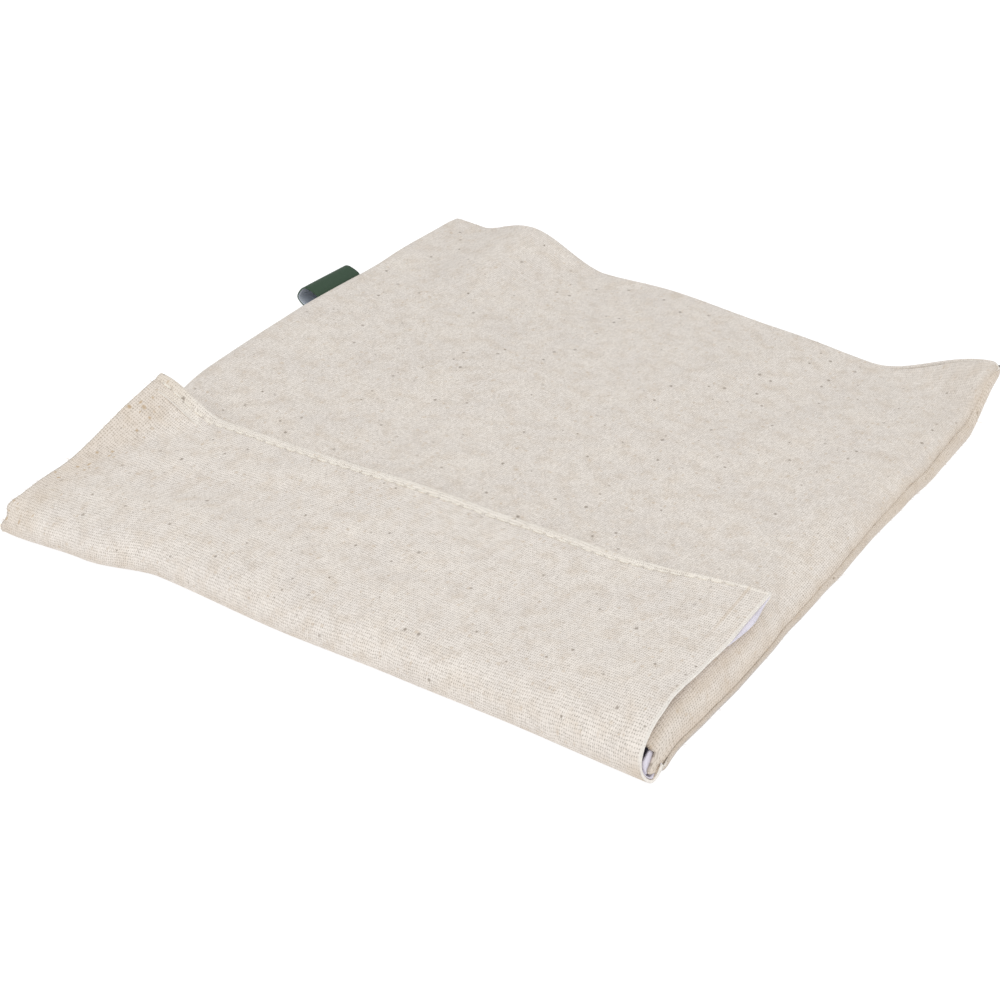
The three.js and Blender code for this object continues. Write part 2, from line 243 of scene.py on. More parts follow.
class PouchSizes(bpy.types.PropertyGroup):
    """Sizes of the cloth and of its sewing."""

    linen: length_prop("Linen", "Thickness of the outer cloth", 0.8)
    lining: length_prop("Lining", "Thickness of the white lining", 0.4)
    ribbon: length_prop("Ribbon", "Thickness of the label's ribbon", 0.45)
    warp_pitch: length_prop("Warp pitch", "Distance between the yarns that run to the fold", 0.6)
    weft_pitch: length_prop("Weft pitch", "Distance between the yarns that run along the fold", 0.83)
    yarn_relief: length_prop("Yarn relief", "How far the yarns stand out of the weave", 0.16)
    stitch_pitch: length_prop("Stitch pitch", "Distance between the hem's stitches", 3.6)
    stitch_length: length_prop("Stitch length", "Visible length of one stitch", 3.3)
    thread: length_prop("Thread", "Thickness of the sewing thread", 0.68)
    fibre: length_prop("Fibre", "Thickness of a loose fibre", 0.1)
    fibre_count: IntProperty(
        name="Fibres", description="Loose fibres along the cut edges", default=260, min=0
    )


class PouchColours(bpy.types.PropertyGroup):
    """Colours of the cloth, the thread and the label."""

    linen: colour_prop("Linen", "Bleached yarns", srgb(246, 238, 228))
    linen_cool: colour_prop("Cool linen", "Greyer yarns", srgb(229, 222, 216))
    # slub's tan also colours the painted shade beside the flap and in the seams' groove
    slub_and_shade_tan: colour_prop("Slub", "Thick unbleached yarns", srgb(196, 174, 146))
    pinhole: colour_prop("Pin-hole", "Gaps between the yarns", srgb(164, 156, 146))
    fleck: colour_prop("Fleck", "Dark specks of bark", srgb(112, 97, 82))
    # foot and shaded are painted shade: tan on cloth low on the sides, cool grey on cloth close to the table
    foot: colour_prop("Linen's foot", "Cloth low on the sides", srgb(196, 181, 163))
    shaded: colour_prop("Shaded linen", "Cloth close to the table", srgb(182, 183, 193))
    lining: colour_prop("Lining", "White lining", srgb(228, 224, 236))
    thread: colour_prop("Thread", "Sewing thread", srgb(246, 240, 229))
    ribbon: colour_prop("Ribbon", "Label's outer face", srgb(48, 76, 54))
    ribbon_back: colour_prop("Ribbon back", "Label's inner face", srgb(196, 205, 216))
    cut_edge: colour_prop("Cut edge", "Ends of the yarns at a cut edge", srgb(240, 235, 227))
    floor: colour_prop("Floor", "Table under the pouch", srgb(160, 160, 162))
    floor_cool: colour_prop("Cool floor", "Cooler clouds in the table", srgb(154, 154, 158))


def clamp(value, low=0.0, high=1.0):
    """The value, kept between two limits."""
    return min(max(value, low), high)


def lerp(start, end, share):
    """A share of the way from start to end."""
    return start + (end - start) * share


def ease(share):
    """A share from 0 to 1 that starts and ends softly."""
    share = clamp(share)
    return share * share * (3 - 2 * share)


def ease_between(start, end, place):
    """How far a place is on the way from start to end, from 0 to 1, eased."""
    return ease((place - start) / (end - start))


def bell(share):
    """1 at 0, falling softly to 0 at -1 and 1."""
    return (1 - share * share) ** 2 if abs(share) < 1 else 0.0


def along(rows, key, place, value):
    """Reads a table of stations: the value at a place, eased between its rows."""
    if place <= rows[0][key]:
        return rows[0][value]
    for before, after in zip(rows, rows[1:]):
        if place <= after[key]:
            share = (place - before[key]) / (after[key] - before[key])
            return lerp(before[value], after[value], ease(share))
    return rows[-1][value]


def curl(corner, inside_x, inside_y):
    """Lift of a corner that curls up about a slanting line."""
    share = clamp(1 - inside_x / corner["reach_x"] - inside_y / corner["reach_y"])
    return corner["rise"] * (1 - (1 - share) ** 2) ** corner["crease"]


def hill(row, x, y):
    """Height of a rounded hill with its own reach on each side."""
    reach_x = row["left"] if x < row["x"] else row["right"]
    reach_y = row["near"] if y < row["y"] else row["far"]
    return row["rise"] * bell((x - row["x"]) / reach_x) * bell((y - row["y"]) / reach_y)


def troughs(rows, x, y):
    """Height of soft troughs and swellings, each an ellipse turned about Z."""
    height = 0.0
    for row in rows:
        turn = math.radians(row["turn"])
        ahead = (x - row["x"]) * math.cos(turn) + (y - row["y"]) * math.sin(turn)
        aside = (y - row["y"]) * math.cos(turn) - (x - row["x"]) * math.sin(turn)
        height += row["rise"] * bell(ahead / row["along"]) * bell(aside / row["across"])
    return height


def ripple(x, y, seed):
    """Faint unevenness of the cloth."""
    pitch = RIPPLE["pitch"]
    return RIPPLE["rise"] * noise.noise(Vector((x / pitch, y / pitch, seed)))


def waver(line, place):
    """How far a line wanders aside at a place along it."""
    return line["by"] * noise.noise(Vector((place / line["pitch"], *line["seed"])))


def round_corner(x, y):
    """A point moved in so that the two far corners are round."""
    across = abs(x) - (WIDTH / 2 - CORNER_ROUND)
    ahead = y - (LENGTH - CORNER_ROUND)
    if across <= 0 or ahead <= 0:
        return x, y
    pull = max(across, ahead) / math.hypot(across, ahead)
    return math.copysign(abs(x) - across * (1 - pull), x), y - ahead * (1 - pull)


def settle(point):
    """Where a point of the level, square pouch lies on the table, in metres."""
    x, y = round_corner(point[0], point[1])
    z = point[2]
    left_share = max(0.0, -x) / (WIDTH / 2)
    right_share = max(0.0, x) / (WIDTH / 2)
    wavy = waver(SEAM_WAVER, y) * ease_between(SEAM_WAVER["from"], SEAM_WAVER["to"], y)
    aside = (along(SIDES, "y", y, "right") + wavy) * right_share
    aside -= along(SIDES, "y", y, "left") * left_share
    fade = ease((FOLD_LINE_FADES - y) / FOLD_LINE_FADES)
    near = along(FOLD_LINE, "x", x, "out") * fade
    far = (along(FAR_SEAM, "x", x, "out") - FAR_SKEW * x) * (y / LENGTH)
    lift = curl(FAR_RIGHT_CORNER, WIDTH / 2 - x, LENGTH - y)
    lift += sum(hill(row, x, y) for row in HILLS)
    return Vector((x + aside, y + far - near - LENGTH / 2, z + lift)) * MM


def fold_section():
    """Points round the fold at its nominal height, each with its distance along the cloth."""
    foot = Vector((FOLD_FOOT, 0))
    front = Vector((FOLD_FRONT["back"], FOLD_FRONT["up"]))
    top = Vector((FOLD_END, FOLD_SECTION_HEIGHT))
    low_handles = (
        Vector((lerp(foot.x, front.x, QUARTER_ROUND), 0)),
        Vector((front.x, front.y * (1 - QUARTER_ROUND))),
    )
    high_handles = (
        Vector((front.x, lerp(front.y, top.y, FOLD_SHOULDER["up"]))),
        Vector((lerp(top.x, front.x, FOLD_SHOULDER["back"]), top.y)),
    )
    points = [Vector((FOLD_START, 0))]
    points += geometry.interpolate_bezier(foot, *low_handles, front, FOLD_STEPS["low"])
    points += geometry.interpolate_bezier(front, *high_handles, top, FOLD_STEPS["high"])[1:]
    run = 0.0
    section = [(run, points[0])]
    for before, after in zip(points, points[1:]):
        run += (after - before).length
        section.append((run, after))
    return section


FOLD_SECTION = fold_section()
FOLD_RUN = FOLD_SECTION[-1][0]


def fold_point(share):
    """How far back and how high the fold's section is at a share of its run."""
    run = clamp(share) * FOLD_RUN
    for (start, before), (end, after) in zip(FOLD_SECTION, FOLD_SECTION[1:]):
        if run <= end:
            return before.lerp(after, (run - start) / max(end - start, 1e-6))
    return FOLD_SECTION[-1][1]


def crown_at(x, y):
    """Height of the front panel away from its seams."""
    return along(CROWN, "y", y, "up") + troughs(FRONT_TROUGHS, x, y)


def front_top(x, y):
    """Height of the front panel where it is not yet rolled down, fuller under the flap's right end."""
    return crown_at(x, y) + sum(hill(row, x, y) for row in UNDER_FLAP)


def lip_width(y):
    """Width of the side lips, as a share of the usual lip's."""
    return lerp(along(LIP_WIDTH, "y", y, "width"), LIP_AT_CORNER["width"], near_corner(LENGTH - y))


def hem_at(x):
    """Place of the hem's outermost line."""
    return HEM_MIDDLE + HEM_SKEW * x + waver(HEM_WAVER, x)


def flap_top(x, y):
    """Height of the flap's top face."""
    fold = along(FOLD_HEIGHT, "x", x, "up")
    laid = crown_at(x, max(y, FOLD_END)) + FLAP_STACK
    flap_share = (y - FOLD_END) / (hem_at(x) - FOLD_END)
    left = lerp(FLAP_HALF["fold"], FLAP_HALF["hem"] - HEM_ASIDE, flap_share)
    lift = curl(FLAP_CORNER, left + x, hem_at(x) - y) + along(FLAP_RISES, "x", x, "up")
    settled = lerp(fold, laid, ease_between(FOLD_END, FLAP_SETTLES, y))
    return settled + lift + troughs(FLAP_TROUGHS, x, y) + ripple(x, y, 1.5)


def hem_relief(x, inside):
    """Soft roll beyond the hem's stitches, and the groove that they pull in."""
    stitched = along(HEM_STITCHES, "x", x, "inside")
    roll = HEM_ROLL["rise"] * bell((inside / stitched - HEM_ROLL["at"]) / HEM_ROLL["reach"])
    groove = HEM_GROOVE["depth"] * bell((inside - stitched) / HEM_GROOVE["reach"])
    return roll - groove


def near_corner(inside, reach=LIP_AT_CORNER["reach"]):
    """How near to a corner of two lips: 1 at the corner, 0 beyond its reach."""
    return 1 - ease(inside / reach)


def lip_closed(y):
    """How far the seams have closed, from 0 in the open fold to 1."""
    return ease_between(LIP_OPENS["from"], LIP_OPENS["to"], y)


def side_share(y):
    """How far the side lips are curled up: 1 along the pouch, less at its corners, 0 at the fold."""
    return lip_closed(y) * lerp(1, LIP_AT_CORNER["share"], near_corner(LENGTH - y))


def lip(part, share, width=1.0):
    """Section of a lip: how far in its strip starts, and how far out and up a part of it lies."""
    strip = LIP_STRIP * width
    turn = LIP_TURN * share
    if turn < 1e-3:
        return strip, strip * part, 0.0
    radius = strip / turn
    reach = radius * math.sin(min(turn, math.pi / 2))
    return reach, radius * math.sin(turn * part), radius * (1 - math.cos(turn * part))


def lip_half(flat_half, share):
    """Half width of the back panel where its lips are curled by a share; a half-open lip spreads."""
    return lerp(flat_half, WIDTH / 2, share) + LIP_OPENS["spread"] * 4 * share * (1 - share)


def across_back(u, share, half, width=1.0):
    """Place across the pouch of a point of the cut cloth, and how high the lip lifts it."""
    part = (abs(u) - BASE_HALF) / LIP_STRIP
    reach, out, up = lip(max(part, 0), share, width)
    if part <= 0:
        return u * (half - reach) / BASE_HALF, 0.0
    return math.copysign(half - reach + out, u), up


# Zones of the back panel's length, from the far seam to the hem's turned edge
LIP_ZONE, BASE_ZONE, FOLD_ZONE, FLAP_ZONE, HEM_ZONE, END_ZONE = range(6)
BASE_RUN = LENGTH - LIP_RADIUS - FOLD_START
FLAP_RUN = HEM_MIDDLE - HEM_RADIUS - FOLD_END
HEM_RUN = math.pi * HEM_RADIUS + HEM_RETURN
ZONE_RUNS = (LIP_STRIP, BASE_RUN, FOLD_RUN, FLAP_RUN, HEM_RUN)
BACK_RUN = sum(ZONE_RUNS)
FLAP_STARTS = BACK_RUN - HEM_RUN - FLAP_RUN
HEM_LINE = BACK_RUN - HEM_RUN + HEM_RADIUS


def base_station(y):
    """Place in the base zone of a distance from the fold."""
    return BASE_ZONE + (LENGTH - LIP_RADIUS - y) / BASE_RUN


def base_point(u, v):
    """Back panel between the far seam and the fold."""
    corner = near_corner(CUT_HALF - abs(u))
    far_share = lerp(1, LIP_AT_CORNER["share"], corner)
    reach, out, far_up = lip(max(BASE_ZONE - v, 0), far_share, lerp(1, LIP_AT_CORNER["width"], corner))
    start = LENGTH - reach
    y = start + out if v < BASE_ZONE else lerp(start, FOLD_START, v - BASE_ZONE)
    share = side_share(y)
    half = lerp(lip_half(FLAP_HALF["table"], share), WIDTH / 2, near_corner(LENGTH - y))
    x, side_up = across_back(u, share, half, lip_width(y))
    both = side_up * far_up / lip(1, LIP_AT_CORNER["share"], LIP_AT_CORNER["width"])[2]
    return x, y, side_up + far_up - both


def fold_zone_point(u, v):
    """Back panel round the fold, with the ends of the side lips at its foot."""
    narrowing = ease((v - FOLD_ZONE) / FOLD_NARROWS)
    section = fold_point(v - FOLD_ZONE)
    share = side_share(section.x) if section.y < FOLD_FRONT["up"] else 0
    half = lerp(FLAP_HALF["table"], FLAP_HALF["fold"], narrowing)
    x, up = across_back(u, share, lip_half(half, share), lerp(1, lip_width(section.x), share))
    if u < -BASE_HALF:
        x += along(FOLD_LEFT_END, "share", v - FOLD_ZONE, "out") * (u + BASE_HALF) / LIP_STRIP
    return x, section.x, section.y * flap_top(x, FOLD_END) / FOLD_SECTION_HEIGHT + up


def flap_point(u, share):
    """Flap from the fold to where its hem turns under."""
    x, _ = across_back(u, 0, lerp(FLAP_HALF["fold"], FLAP_HALF["hem"], share))
    x += HEM_ASIDE * share
    y = lerp(FOLD_END, hem_at(x) - HEM_RADIUS, share)
    return x, y, flap_top(x, y) + hem_relief(x, hem_at(x) - y)


def hem_turn_point(u, v):
    """Hem's turned edge and the strip that runs back under the flap."""
    x, y, z = flap_point(u, 1)
    run = (v - HEM_ZONE) * HEM_RUN
    angle = min(run / HEM_RADIUS, math.pi)
    back = max(run - math.pi * HEM_RADIUS, 0)
    y += HEM_RADIUS * math.sin(angle) - back
    return x, y, z - HEM_RADIUS * (1 - math.cos(angle))


def back_panel(u, v):
    """Outer face of the back panel: far lip, base, fold, flap and hem in one run of cloth."""
    if v < FOLD_ZONE:
        return base_point(u, v)
    if v < FLAP_ZONE:
        return fold_zone_point(u, v)
    if v <= HEM_ZONE:
        return flap_point(u, v - FLAP_ZONE)
    return hem_turn_point(u, v)


def back_measure(u, v):
    """Place in the back panel's cut cloth."""
    zone = min(int(v), len(ZONE_RUNS) - 1)
    run = sum(ZONE_RUNS[:zone]) + (v - zone) * ZONE_RUNS[zone]
    return u * MM, run * MM


# Where the front panel is cut from, so that its weave differs from the back panel's
FRONT_CUT = Vector((400, 400))


def front_panel(x, y):
    """Outer face of the front panel: crowned, rounded off to the seam on three sides."""
    inside_x = FRONT_HALF - abs(x)
    inside_y = FRONT_FAR - y
    corner = near_corner(max(inside_x, inside_y))
    opened = 1 - lip_closed(y)
    seam = lerp(SEAM_HEIGHT["along"] * lip_width(y), SEAM_HEIGHT["corner"], corner)
    seam = lerp(seam, SEAM_HEIGHT["mouth"], opened)
    height = front_top(x, y) + ripple(x, y, 4.5) - seam
    past_flap = ease_between(BESIDE_FLAP["from"], BESIDE_FLAP["to"], y)
    roll = lerp(ROLL["beside_flap"], ROLL["right"], past_flap) if x > 0 else ROLL["left"]
    inside = min(inside_x / roll, inside_y / ROLL["far"])
    rolled = (1 - (1 - clamp(inside / height)) ** 2) ** lerp(ROLL["power"], 1, corner)
    over = FRONT_AT_CORNER
    aside = over["out"] * near_corner(inside_y, over["reach"]) + FRONT_AT_MOUTH * opened
    meets = FRONT_MEETS_LIP["out"] - FRONT_MEETS_LIP["for_width"] * lip_width(y)
    aside += lerp(meets, max(meets, 0), near_corner(inside_y, FRONT_MEETS_LIP["reach"]))
    out_x = x * (1 + aside / FRONT_HALF)
    out_y = y * (1 + over["out"] * near_corner(inside_x, over["reach"]) / FRONT_FAR)
    return out_x, out_y, seam + height * rolled


def front_cloth(x, station):
    """The front panel's cloth, whose first rows follow the mouth edge."""
    mouth_row = MOUTH[0]["y"]
    from_mouth = (station - mouth_row) / (MOUTH_FADES - mouth_row)
    if from_mouth >= 1:
        return front_panel(x, station)
    return front_panel(x, lerp(along(MOUTH, "x", x, "y"), MOUTH_FADES, from_mouth))


def front_measure(x, y):
    """Place in the front panel's cut cloth, which is wider where it rolls down to the seam."""
    seam = math.copysign(FRONT_HALF, x)
    drop = front_top(x, y) - front_panel(x, y)[2]
    seam_drop = front_top(seam, y) - front_panel(seam, y)[2]
    turning = ease_between(SEAM_TURN["from"], SEAM_TURN["to"], abs(x))
    wider = drop / 2 + turning * (SEAM_TURN["wider"] - seam_drop / 2)
    return (x + math.copysign(1, x) * wider + FRONT_CUT.x) * MM, (y + FRONT_CUT.y) * MM


def under(surface, u, v, depth):
    """A point under a surface, measured along its normal."""
    step_u = 0.02
    step_v = 0.002
    along_u = Vector(surface(u + step_u, v)) - Vector(surface(u - step_u, v))
    along_v = Vector(surface(u, v + step_v)) - Vector(surface(u, v - step_v))
    normal = along_u.cross(along_v).normalized()
    return Vector(surface(u, v)) - normal * depth


def stations(start, end, cells):
    """Evenly spaced stations, both ends included."""
    return [lerp(start, end, cell / cells) for cell in range(cells + 1)]


def joined(*runs):
    """Joins runs of stations whose ends meet."""
    places = list(runs[0])
    for run in runs[1:]:
        places += run[1:]
    return places


def new_object(name, shape, finishes):
    """A finished mesh as an object at the origin, with its materials."""
    mesh = bpy.data.meshes.new(name)
    shape.to_mesh(mesh)
    shape.free()
    for finish in finishes:
        mesh.materials.append(finish)
    piece = bpy.data.objects.new(name, mesh)
    bpy.context.scene.collection.objects.link(piece)
    return piece


def lay_cloth(name, across, lengthways, surface, measure, thickness, finishes, inner=0, rim=0):
    """A sheet of cloth: a grid laid on a surface, with the cloth's own measures as its UV map."""
    columns = len(across) - 1
    rows = len(lengthways) - 1
    shape = bmesh.new()
    bmesh.ops.create_grid(shape, x_segments=columns, y_segments=rows, size=0.5)
    weave = shape.loops.layers.uv.new("cloth")
    places = {}
    for vertex in shape.verts:
        column = round((vertex.co.x + 0.5) * columns)
        row = round((vertex.co.y + 0.5) * rows)
        places[vertex] = (across[column], lengthways[row])
    for face in shape.faces:
        face.smooth = True
        for corner in face.loops:
            corner[weave].uv = measure(*places[corner.vert])
    for vertex, place in places.items():
        vertex.co = settle(surface(*place))
    piece = new_object(name, shape, finishes)
    solid = piece.modifiers.new("Thickness", "SOLIDIFY")
    solid.thickness = thickness
    solid.offset = -1
    solid.material_offset = inner
    solid.material_offset_rim = rim
    return piece


class Value:
    """A value on a surface: Python's operators on it add Math nodes."""

    def __init__(self, finish, socket):
        self.finish = finish
        self.socket = socket

    def __add__(self, other):
        return self.finish.math("ADD", self, other)

    __radd__ = __add__

    def __sub__(self, other):
        return self.finish.math("SUBTRACT", self, other)

    def __rsub__(self, other):
        return self.finish.math("SUBTRACT", other, self)

    def __mul__(self, other):
        return self.finish.math("MULTIPLY", self, other)

    __rmul__ = __mul__

    def __truediv__(self, other):
        return self.finish.math("DIVIDE", self, other)

    def __rtruediv__(self, other):
        return self.finish.math("DIVIDE", other, self)

    def __abs__(self):
        return self.finish.math("ABSOLUTE", self)

    def sibling(self, output):
        """Another output of the same node."""
        return Value(self.finish, self.socket.node.outputs[output])


class Finish:
    """A material being made."""

    def __init__(self, name):
        self.material = bpy.data.materials.new(name)
        self.material.use_nodes = True
        self.tree = self.material.node_tree
        self.tree.nodes.clear()

    def node(self, kind, settings=None, inputs=None, output=0):
        """A node of a type, with its settings and the values or links of its sockets."""
        node = self.tree.nodes.new(kind)
        for name, value in (settings or {}).items():
            setattr(node, name, value)
        for name, value in (inputs or {}).items():
            if isinstance(value, Value):
                self.tree.links.new(value.socket, node.inputs[name])
            else:
                node.inputs[name].default_value = value
        return Value(self, node.outputs[output]) if node.outputs else None

    def math(self, operation, *values):
        """A Math node on some values."""
        return self.node("ShaderNodeMath", {"operation": operation}, dict(enumerate(values)))

    def place(self):
        """Place in the pouch, in metres."""
        return self.node("ShaderNodeTexCoord", None, None, "Object")

    def cut_cloth(self):
        """Place in the cut cloth, in metres."""
        return self.node("ShaderNodeUVMap", {"uv_map": "cloth"})

    def noise(self, vector, scale, detail=2.0, output="Fac"):
        """Cloudy noise on some coordinates."""
        inputs = {"Vector": vector, "Scale": scale, "Detail": detail, "Roughness": 0.55}
        return self.node("ShaderNodeTexNoise", {"noise_dimensions": "3D"}, inputs, output)

    def sway(self, vector, scale, amount):
        """Coordinates that wander to and fro."""
        inputs = {0: self.noise(vector, scale, 1.0, "Color"), 1: (amount, amount, amount), 2: vector}
        return self.node("ShaderNodeVectorMath", {"operation": "MULTIPLY_ADD"}, inputs)

    def part(self, vector, axis):
        """One coordinate of a vector."""
        return self.node("ShaderNodeSeparateXYZ", None, {0: vector}, axis)

    def chance(self, x, y):
        """A random value for each pair of whole numbers."""
        pair = self.node("ShaderNodeCombineXYZ", None, {0: x, 1: y, 2: 0.0})
        return self.node("ShaderNodeTexWhiteNoise", {"noise_dimensions": "3D"}, {"Vector": pair}, "Value")

    def step(self, value, low, high):
        """A soft step from 0 at low to 1 at high."""
        settings = {"interpolation_type": "SMOOTHSTEP"}
        return self.node("ShaderNodeMapRange", settings, {0: value, 1: low, 2: high, 3: 0.0, 4: 1.0})

    def mix(self, share, start, end):
        """One colour going over into another."""
        return self.node("ShaderNodeMix", {"data_type": "RGBA"}, {0: share, 6: start, 7: end}, 2)

    def bump(self, height, distance, strength=1.0):
        """Relief of a height from 0 to 1."""
        inputs = {"Height": height, "Distance": distance, "Strength": strength}
        return self.node("ShaderNodeBump", None, inputs)

    def shade(self, colour, roughness, bump=None, **constants):
        """The surface's shader; constants are set on its own sockets."""
        inputs = {"Base Color": colour, "Roughness": roughness, **constants}
        if bump is not None:
            inputs["Normal"] = bump
        surface = self.node("ShaderNodeBsdfPrincipled", None, inputs)
        self.node("ShaderNodeOutputMaterial", None, {"Surface": surface})
        return self.material


# The two linens: how strongly their pin-holes show, how much their yarns differ, how grey they are between
# the pin-holes, and how much painted shade tans them low on the sides
WOVEN_LINEN = {"name": "woven_linen", "weave": 0.8, "uneven": 0.48, "grey": 0.03, "foot": 0.2}
PRESSED_LINEN = {"name": "pressed_linen", "weave": 0.36, "uneven": 0.44, "grey": 0.16, "foot": 0.0}

# Specks: their spacing in millimetres, and the share of it that they reach; how many show, and how strongly
SLUBS = table(
    "across lengthways reach share strength", (2.8, 2.4, 0.24, 0.3, 1), (1.6, 3.3, 0.24, 0.25, 1)
)
FLECKS = table(
    "across lengthways reach share strength", (4.3, 4.6, 0.13, 0.25, 1), (2.3, 2.1, 0.14, 0.12, 0.6)
)

# Where the back panel's look changes, across or along its cut cloth, as stretches in millimetres
BACK_ENDS = (200, 201)
LEFT_EDGE = (4 - CUT_HALF, 14 - CUT_HALF)
FOLD_EDGE_STARTS = (FLAP_STARTS - 24, FLAP_STARTS - 20)
SELVEDGE = (CUT_HALF - 0.8, CUT_HALF - 0.4)
TURNED_EDGE = {"at": CUT_HALF - 5.5, "half": (0.1, 0.7), "starts": (HEM_LINE - 24, HEM_LINE - 14)}
# painted shade in the seam's groove, on the lips
LIP_SHADE_SPAN = (BASE_HALF, CUT_HALF - 1)

# Where the front panel's look changes, across or along its cut cloth
SMOOTHER = (80, 200)
OPEN_WEAVE = {"across": (76, 98), "ends": (90, 140)}
# painted shade beside and under the flap's right edge
FLAP_SHADE_SPAN = {"across": (84, 93), "fades": (95, 98), "ends": (46, 74)}
# painted shade in the groove, along the front panel's edge at the seam
GROOVE_SHADE_SPAN = (97, 101)

# Heights above the table where the painted shade changes: tan low on the sides, cool grey close to the table
LOW_SHADE_HEIGHTS = (0, 8)
TABLE_SHADE_HEIGHTS = (0.2, 1.6)


class Linen(Finish):
    """A plain weave with pin-holes, slubs and flecks, on the cut cloth's measures in millimetres."""

    def __init__(self, kind, sizes, colours):
        super().__init__(kind["name"])
        self.kind = kind
        self.sizes = sizes
        self.colours = colours
        scale = {0: self.cut_cloth(), "Scale": 1 / MM}
        self.cloth = self.node("ShaderNodeVectorMath", {"operation": "SCALE"}, scale)
        self.cut_x = self.part(self.cloth, 0)
        self.cut_y = self.part(self.cloth, 1)
        self.front_x = self.cut_x - FRONT_CUT.x
        self.front_y = self.cut_y - FRONT_CUT.y
        self.on_back = 1 - self.step(self.cut_x, *BACK_ENDS)
        self.grain = self.noise(self.cloth, 1.7, 1.5)
        self.height, self.crossing = self.yarns()
        self.sewing = self.hem_sewing()

    def yarns(self):
        """Height of the yarns, and a random value for each crossing."""
        swayed = self.sway(self.sway(self.cloth, 0.2, 1.2), 1.3, 0.2)
        warp_at = self.part(swayed, 0) / (self.sizes.warp_pitch / MM)
        weft_at = self.part(swayed, 1) / (self.sizes.weft_pitch / MM)
        warp_wave = self.math("SINE", warp_at * math.pi)
        weft_wave = self.math("SINE", weft_at * math.pi)
        over = warp_wave * weft_wave
        warp_height = abs(warp_wave) * (over * 0.5 + 0.5)
        weft_height = abs(weft_wave) * (0.5 - over * 0.5)
        crossing = self.chance(self.math("FLOOR", warp_at), self.math("FLOOR", weft_at))
        return self.math("MAXIMUM", warp_height, weft_height), crossing

    def hem_sewing(self):
        """The hem's sewing line, which comes nearer to the edge at the right."""
        start, end = HEM_STITCHES
        nearer = self.step(self.cut_x, start["x"], end["x"]) * (start["inside"] - end["inside"])
        return nearer + (HEM_LINE - start["inside"])

    def specks(self, rows):
        """Scattered soft specks, as how strongly each shows."""
        shown = 0
        for row in rows:
            spacing = (1 / row["across"], 1 / row["lengthways"], 1.0)
            spread = {0: self.cloth, 1: spacing}
            spread = self.node("ShaderNodeVectorMath", {"operation": "MULTIPLY"}, spread)
            settings = {"voronoi_dimensions": "2D", "feature": "F1"}
            away = self.node("ShaderNodeTexVoronoi", settings, {"Vector": spread, "Scale": 1.0}, "Distance")
            chance = self.part(away.sibling("Color"), 0)
            reach = (self.part(away.sibling("Color"), 1) + 0.4) * row["reach"]
            spots = self.step(chance, 1 - row["share"], 1.0) * (1 - self.step(away, reach * 0.3, reach))
            shown = spots * row["strength"] + shown
        return shown

    def needle_holes(self):
        """Holes between the hem's stitches, as how strongly each shows."""
        pitch = self.sizes.stitch_pitch / MM
        x = self.cut_x * ((FLAP_HALF["hem"] - LIP_STRIP) / BASE_HALF) + HEM_ASIDE
        stitch = (x - HEM_STITCHES_END["left"]) / pitch
        away = abs(self.math("FRACT", stitch + 0.5) - 0.5) * pitch
        aside = abs(self.cut_y - self.sewing)
        sewn = 1 - self.step(x, HEM_STITCHES_END["right"], HEM_STITCHES_END["right"] + 1)
        return (1 - self.step(away, 0.15, 0.45)) * (1 - self.step(aside, 0.2, 0.6)) * sewn

    def ground(self):
        """The yarns' colours in soft clouds, with warmer patches."""
        clouds = self.noise(self.cloth, 0.07, 3.0)
        warm = self.step(self.noise(self.cloth, 0.2, 2.0), 0.4, 0.8)
        colour = self.mix(clouds, self.colours.linen, self.colours.linen_cool)
        return self.mix(warm * 0.27, colour, self.colours.slub_and_shade_tan)

    def pinholes(self, colour):
        """Grey pin-holes between uneven yarns; the hem's band is paler."""
        hem = self.step(self.cut_y - self.sewing, -0.4, 0.2) * self.on_back
        smoother = self.step(self.front_y, *SMOOTHER)
        open_weave = self.step(self.front_x, *OPEN_WEAVE["across"])
        open_weave = open_weave * (1 - self.step(self.front_y, *OPEN_WEAVE["ends"]))
        holes = (1 - self.step(self.height, 0.05, 0.5)) * (open_weave * 0.5 + self.kind["weave"])
        holes = holes * (self.crossing * 0.4 + 0.8)
        uneven = (self.grain - 0.5) * (1.9 - smoother) + (self.crossing - 0.5) * 0.4
        grey = uneven * self.kind["uneven"] + holes - open_weave * 0.12 + self.kind["grey"]
        colour = self.mix(hem * 0.45, colour, self.colours.thread)
        return self.mix(grey - hem * 0.08, colour, self.colours.pinhole)

    def impurities(self, colour):
        """Tan slubs, more of them along the left edge, dark flecks and the needle's holes."""
        shows = self.height * 0.5 + 0.6
        left_edge = 1 - self.step(self.cut_x, *LEFT_EDGE)
        slubs = self.specks(SLUBS) * shows * (left_edge * 0.6 + 0.4) + left_edge * 0.2
        colour = self.mix(slubs, colour, self.colours.slub_and_shade_tan)
        colour = self.mix(self.specks(FLECKS) * shows * 0.7, colour, self.colours.fleck)
        return self.mix(self.needle_holes() * 0.2, colour, self.colours.fleck)

    def edges(self, colour):
        """The flap's pale right edge with the line of its turning, and painted shade: warm tan beside and
        under the flap's right edge, and in the groove along the seams.
        """
        flap_cloth = self.step(self.cut_y, *FOLD_EDGE_STARTS)
        selvedge = self.step(self.cut_x, *SELVEDGE) * self.on_back * flap_cloth
        colour = self.mix(selvedge * 0.8, colour, self.colours.cut_edge)
        turned = 1 - self.step(abs(self.cut_x - TURNED_EDGE["at"]), *TURNED_EDGE["half"])
        turned = turned * self.step(self.cut_y, *TURNED_EDGE["starts"]) * self.on_back
        colour = self.mix(turned * 0.3, colour, self.colours.slub_and_shade_tan)
